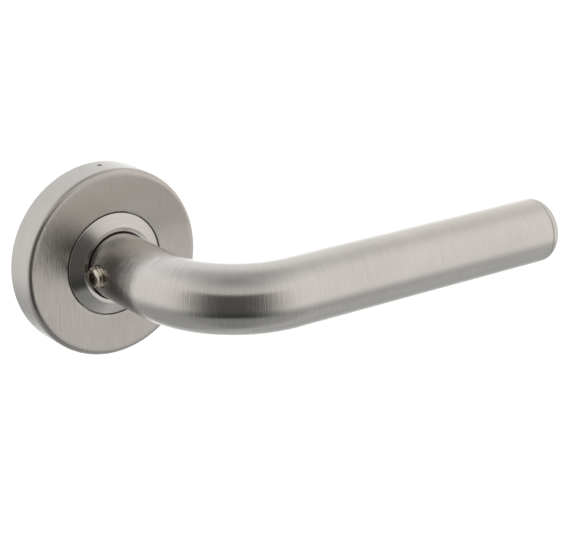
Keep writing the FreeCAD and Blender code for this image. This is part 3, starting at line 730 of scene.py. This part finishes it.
@dataclass
class Rose:
    """The round rose: its cover and the turned collar around the neck."""

    cover_radius: float = 27 * MM
    cover_height: float = 10 * MM
    cover_wall: float = 1.2 * MM
    cover_round: float = 1.5 * MM
    hole_radius: float = 14.85 * MM
    rim_hole_out: float = 3.7 * MM
    rim_hole_radius: float = 0.75 * MM
    collar_radius: float = 14.55 * MM
    collar_rise: float = 12.2 * MM
    lip_radius: float = 11 * MM
    bore_radius: float = 9.85 * MM
    foot_radius: float = 15.4 * MM
    foot_start: float = 7.4 * MM
    foot_end: float = 8.5 * MM
    cavity_radius: float = 12.6 * MM
    cavity_end: float = 10.5 * MM
    rim_drill: float = 2.5 * MM
    segments: int = 256

    def build_cover(self) -> bpy.types.Object:
        """Builds the cover with its rounded edges and the hole in its rim.

        Returns:
            The cover.
        """
        inside, roof = self.cover_radius - self.cover_wall, self.cover_height - self.cover_wall
        corners = [
            (self.cover_radius, 0.0, 0.15 * MM),
            (self.cover_radius, self.cover_height, self.cover_round),
            (self.hole_radius, self.cover_height, 0.25 * MM),
            (self.hole_radius, roof, 0.1 * MM),
            (inside, roof, 0.6 * MM),
            (inside, 0.0, 0.1 * MM),
        ]
        outline = divided(rounded(corners), 0.8 * MM)
        cover = turn_profile("rose_cover_skin", outline, self.segments, face_grain)
        start = Vector((0, -self.rim_hole_out, self.cover_radius - self.rim_drill))
        steps = [
            (0.0, self.rim_hole_radius),
            (self.rim_drill - 0.06 * MM, self.rim_hole_radius),
            (self.rim_drill + 0.2 * MM, self.rim_hole_radius + 0.2 * MM),
        ]
        cut_away(cover, drill("rim_drill", start, Vector((0, 0, 1)), steps))
        return cover

    def build_collar(self) -> bpy.types.Object:
        """Builds the collar: a foot under the cover, a cone and a flat lip.

        Returns:
            The collar.
        """
        corners = [
            (self.foot_radius, self.foot_start, 0.1 * MM),
            (self.foot_radius, self.foot_end, 0.1 * MM),
            (self.collar_radius, self.foot_end, 0.1 * MM),
            (self.collar_radius, self.cover_height, 0.2 * MM),
            (self.lip_radius, self.collar_rise, 0.25 * MM),
            (self.bore_radius, self.collar_rise, 0.15 * MM),
            (self.bore_radius, self.cavity_end, 0.05 * MM),
            (self.cavity_radius, self.cavity_end, 0.2 * MM),
            (self.cavity_radius, self.foot_start, 0.1 * MM),
        ]
        outline = divided(rounded(corners, 6), 0.5 * MM)
        return turn_profile("collar_skin", outline, self.segments, ring_grain)


@dataclass
class Lever:
    """The bent lever tube and the cap that closes its end."""

    radius: float = 9.5 * MM
    wall: float = 1.25 * MM
    foot: float = 9.9 * MM
    projection: float = 58 * MM
    bend: float = 25 * MM
    reach: float = 117.5 * MM
    cap: float = 3.6 * MM
    cap_round: float = 3.4 * MM
    cap_steps: int = 24
    spigot: float = 4 * MM
    spigot_gap: float = 0.05 * MM
    spigot_chamfer: float = 0.3 * MM
    grub_out: float = 17 * MM
    grub_hole: float = 3.3 * MM
    drill_start: float = 4 * MM
    drill_length: float = 5 * MM
    sides: int = 192
    rings: int = 260

    @property
    def neck(self) -> float:
        """Length of the straight neck."""
        return self.projection - self.bend - self.foot

    @property
    def curve(self) -> float:
        """Length of the bend's centreline."""
        return self.bend * math.pi / 2

    @property
    def arm(self) -> float:
        """Length of the straight arm up to the cap."""
        return self.reach - self.cap - self.bend

    def station(self, length: float) -> tuple[Vector, Vector]:
        """Finds a place on the centreline.

        Args:
            length: Length along the centreline from the tube's foot.

        Returns:
            The place, and the direction across the tube in the plane of the bend.
        """
        if length <= self.neck:
            return Vector((0, -self.foot - length, 0)), Vector((-1, 0, 0))
        if length <= self.neck + self.curve:
            a = (length - self.neck) / self.bend
            out = Vector((-math.cos(a), -math.sin(a), 0))
            middle = Vector((self.bend, self.bend - self.projection, 0))
            return middle + out * self.bend, out
        rest = length - self.neck - self.curve
        return Vector((self.bend + rest, -self.projection, 0)), Vector((0, -1, 0))

    def ring(self, length: float, radius: float) -> tuple[list[Point], list[Point]]:
        """Makes one ring of the tube.

        Args:
            length: Length along the centreline.
            radius: The ring's radius.

        Returns:
            Its points and their grains.
        """
        middle, out = self.station(length)
        points, grains = [], []
        for i in range(self.sides):
            a = 2 * math.pi * i / self.sides
            spot = middle + out * (radius * math.cos(a)) + Vector((0, 0, radius * math.sin(a)))
            points.append(tuple(spot))
            grains.append((length, radius * math.cos(a), radius * math.sin(a)))
        return points, grains

    def skin(self, name: str, rings: Sequence[tuple[float, float]]) -> tuple[Shell, Row, Row]:
        """Makes the skin through a list of rings.

        Args:
            name: The shell's name.
            rings: Length along the centreline and radius of each ring.

        Returns:
            The shell, open at its first and last rings, and those two rings.
        """
        shell = Shell(name)
        made = []
        for length, radius in rings:
            points, grains = self.ring(length, radius)
            made.append((shell.row(points), grains))
        for (low, low_grain), (high, high_grain) in zip(made, made[1:]):
            shell.join(high, low, high_grain, low_grain)
        return shell, made[0], made[-1]

    def build_tube(self) -> bpy.types.Object:
        """Builds the hollow tube with the grub screw's hole.

        Returns:
            The tube.
        """
        whole = self.neck + self.curve + self.arm
        lengths = [whole * i / self.rings for i in range(self.rings + 1)]
        outside = [(length, self.radius) for length in lengths]
        inside = [(length, self.radius - self.wall) for length in reversed(lengths[::4])]
        shell, first, last = self.skin("lever_tube_skin", outside + inside)
        shell.join(first[0], last[0], first[1], last[1])
        tube = shell.build()
        start = Vector((-self.radius + self.drill_start, -self.grub_out, 0))
        steps = [(0.0, self.grub_hole), (self.drill_length, self.grub_hole)]
        cut_away(tube, drill("grub_drill", start, Vector((-1, 0, 0)), steps))
        return tube

    def build_cap(self) -> bpy.types.Object:
        """Builds the cap, a spigot in the tube and a rounded end.

        Returns:
            The cap.
        """
        start = self.neck + self.curve + self.arm
        foot, end = start - self.spigot, start + self.cap
        inner = self.radius - self.wall - self.spigot_gap
        chamfer = self.spigot_chamfer
        rings = [(foot, inner - chamfer), (foot + chamfer, inner), (start, inner)]
        rings.append((start, self.radius))
        straight = end - self.cap_round
        for i in range(self.cap_steps + 1):
            a = math.pi / 2 * i / self.cap_steps
            rings.append((
                straight + self.cap_round * math.sin(a),
                self.radius - self.cap_round * (1 - math.cos(a)),
            ))
        rings += [(end, radius * MM) for radius in (5.0, 4.0, 3.0, 2.0, 1.0)]
        shell, first, last = self.skin("tip_cap_skin", rings)
        shell.cap(first[0], tuple(self.station(foot)[0]), first[1], True)
        shell.cap(last[0], tuple(self.station(end)[0]), last[1], False)
        return shell.build()


# --------------------------------------------------------------------------- studio


@dataclass
class Studio:
    """A pale floor, soft surrounding light and the camera."""

    azimuth: float = -36.68
    elevation: float = 19.47
    distance: float = 494.0 * MM
    target: Point = (50.44 * MM, -20.0 * MM, -9.75 * MM)
    lens: float = 107.92
    floor_height: float = -112 * MM
    floor_half: float = 3.0
    wall_gain: float = 0.54
    roof_loss: float = 0.49
    ground: float = 0.43
    far_ground_gain: float = 0.14
    backdrop: float = 1.35
    shade_loss: float = 0.33
    side_loss: float = 0.1
    gap_loss: float = 0.84

    def build_camera(self) -> None:
        """Makes the camera and looks through it."""
        turn, lift = math.radians(self.azimuth), math.radians(self.elevation)
        back = Vector((
            math.sin(turn) * math.cos(lift), -math.cos(turn) * math.cos(lift), math.sin(lift)
        ))
        data = bpy.data.cameras.new("camera")
        data.lens = self.lens
        data.sensor_width = 36.0
        data.clip_start, data.clip_end = 0.01, 20.0
        camera = bpy.data.objects.new("camera", data)
        camera.location = Vector(self.target) + back * self.distance
        camera.rotation_mode = "QUATERNION"
        camera.rotation_quaternion = (-back).to_track_quat("-Z", "Y")
        bpy.context.scene.collection.objects.link(camera)
        bpy.context.scene.camera = camera

    def build_floor(self) -> None:
        """Lays the pale floor, below the lowest place that the lever reaches."""
        half, low = self.floor_half, self.floor_height
        mesh = bpy.data.meshes.new("floor")
        corners = [(-half, -half, low), (half, -half, low), (half, half, low), (-half, half, low)]
        mesh.from_pydata(corners, [], [(0, 1, 2, 3)])
        floor = bpy.data.objects.new("floor", mesh)
        bpy.context.scene.collection.objects.link(floor)
        material, graph = new_surface("pale_floor")
        finish_surface(
            graph,
            Base_Color=(0.86, 0.86, 0.86),
            Roughness=0.9,
            Emission_Color=(1.0, 1.0, 1.0),
            Emission_Strength=0.42,
        )
        dress(floor, material)
        floor.visible_glossy = False

    def build_light(self) -> None:
        """Surrounds the handle with soft light: bright walls, a grey floor and a dark gap."""
        world = bpy.data.worlds.new("studio")
        world.use_nodes = True
        bpy.context.scene.world = world
        graph = Graph(world.node_tree)
        x, y, z = graph.parts(graph.node("ShaderNodeTexCoord", output="Generated"))
        degree = 180 / math.pi
        height = z.math("ARCSINE", z) * degree
        around = x.math("ARCTAN2", x, 0 - y) * degree

        wall = height.step(-40, -14)
        roof = height.step(38, 85)
        level = wall * self.wall_gain - roof * self.roof_loss + self.ground
        level = level + around.band(48, 200, 12) * (1 - wall) * self.far_ground_gain
        backdrop = around.band(126, 166, 12) * height.band(-40, 8, 14)
        level = level.toward(self.backdrop, backdrop)
        shade = around.band(-85, 5, 35) * self.shade_loss
        side = around.band(84, 128, 14) * self.side_loss
        gap = around.band(-74, -1, 22) * height.band(-44, 33, 5) * self.gap_loss
        level = level * (1 - shade) * (1 - side) * (1 - gap)
        behind = around.size().step(130, 150)
        warm = wall * (1 - roof) * (1 - behind)
        tint = graph.blend(warm, (1.0, 1.015, 1.01), (1.0, 0.965, 0.935))
        seen = graph.node("ShaderNodeLightPath", output="Is Camera Ray")
        white = graph.node(
            "ShaderNodeBackground", inputs={"Color": (1.0, 1.0, 1.0), "Strength": 1.0}
        )
        glow = graph.node("ShaderNodeBackground", inputs={"Color": tint, "Strength": level})
        both = graph.node("ShaderNodeMixShader", inputs={0: seen, 1: glow, 2: white})
        graph.node("ShaderNodeOutputWorld", inputs={"Surface": both})


# --------------------------------------------------------------------------- putting together


def dress_cad_nodes() -> None:
    """Gives each CAD node that stays in sight its finish."""
    plated = PlainMetal("zinc_plated_steel", (0.62, 0.63, 0.63), (0.48, 0.49, 0.5), 0.32)
    drawn = PlainMetal(
        "drawn_plated_steel", (0.6, 0.61, 0.61), (0.46, 0.47, 0.48), 0.34, Lay.DRAWN
    )
    spring = PlainMetal("spring_steel", (0.3, 0.3, 0.31), (0.2, 0.2, 0.21), 0.3)
    black = PlainMetal("blackened_steel", (0.09, 0.09, 0.1), (0.05, 0.05, 0.055), 0.38)
    bright = PlainMetal("bright_screw", (0.72, 0.68, 0.6), (0.6, 0.55, 0.47), 0.22)
    zinc = CastMetal("cast_zinc", (0.46, 0.47, 0.48), (0.36, 0.37, 0.38))
    black_nylon = Nylon("black_nylon", (0.02, 0.02, 0.02), (0.03, 0.03, 0.03))
    pale_nylon = Nylon("pale_nylon", (0.76, 0.74, 0.68), (0.7, 0.68, 0.62))
    finishes = {
        plated: ("stop_pins", "support_sleeves", "wood_screws", "neck_insert", "driver_plate"),
        drawn: ("spindle",),
        spring: ("thrust_washer", "snap_ring", "return_spring", "disc_spring"),
        black: ("lock_screw", "circlip"),
        bright: ("grub_screw",),
        zinc: ("base_plate",),
        black_nylon: ("neck_bush",),
        pale_nylon: ("rear_bush",),
    }
    for finish, nodes in finishes.items():
        material = finish.material()
        for node in nodes:
            dress(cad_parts[node], material)
            LOG.info("%s: dressed as %s", node, finish.name)


def main() -> None:
    """Builds the looks of the whole handle and the studio around it."""
    logging.basicConfig(level=logging.INFO, format="%(name)s: %(message)s")
    bpy.context.scene.view_settings.view_transform = "Standard"
    rose, lever, studio = Rose(), Lever(), Studio()

    cover = rose.build_cover()
    rose_steel = BrushedSteel(
        "rose_steel", (0.575, 0.55, 0.525), (0.47, 0.445, 0.42), roughness=0.26, depth=0.045 * MM
    )
    dress(cover, rose_steel.material())
    place(cover, "cover", ["rose_cover"], "stainless")

    collar = rose.build_collar()
    dress(collar, BrushedSteel("collar_steel", roughness=0.16, depth=0.01 * MM).material())
    place(collar, "rose", ["collar"], "stainless")

    tube_steel = BrushedSteel("lever_steel", depth=0.036 * MM).material()
    tube = lever.build_tube()
    dress(tube, tube_steel)
    place(tube, "lever", ["lever_tube"], "stainless")
    cap = lever.build_cap()
    dress(cap, tube_steel)
    place(cap, "lever", ["tip_cap"], "stainless")

    dress_cad_nodes()
    studio.build_floor()
    studio.build_light()
    studio.build_camera()


if __name__ == "__main__":
    main()
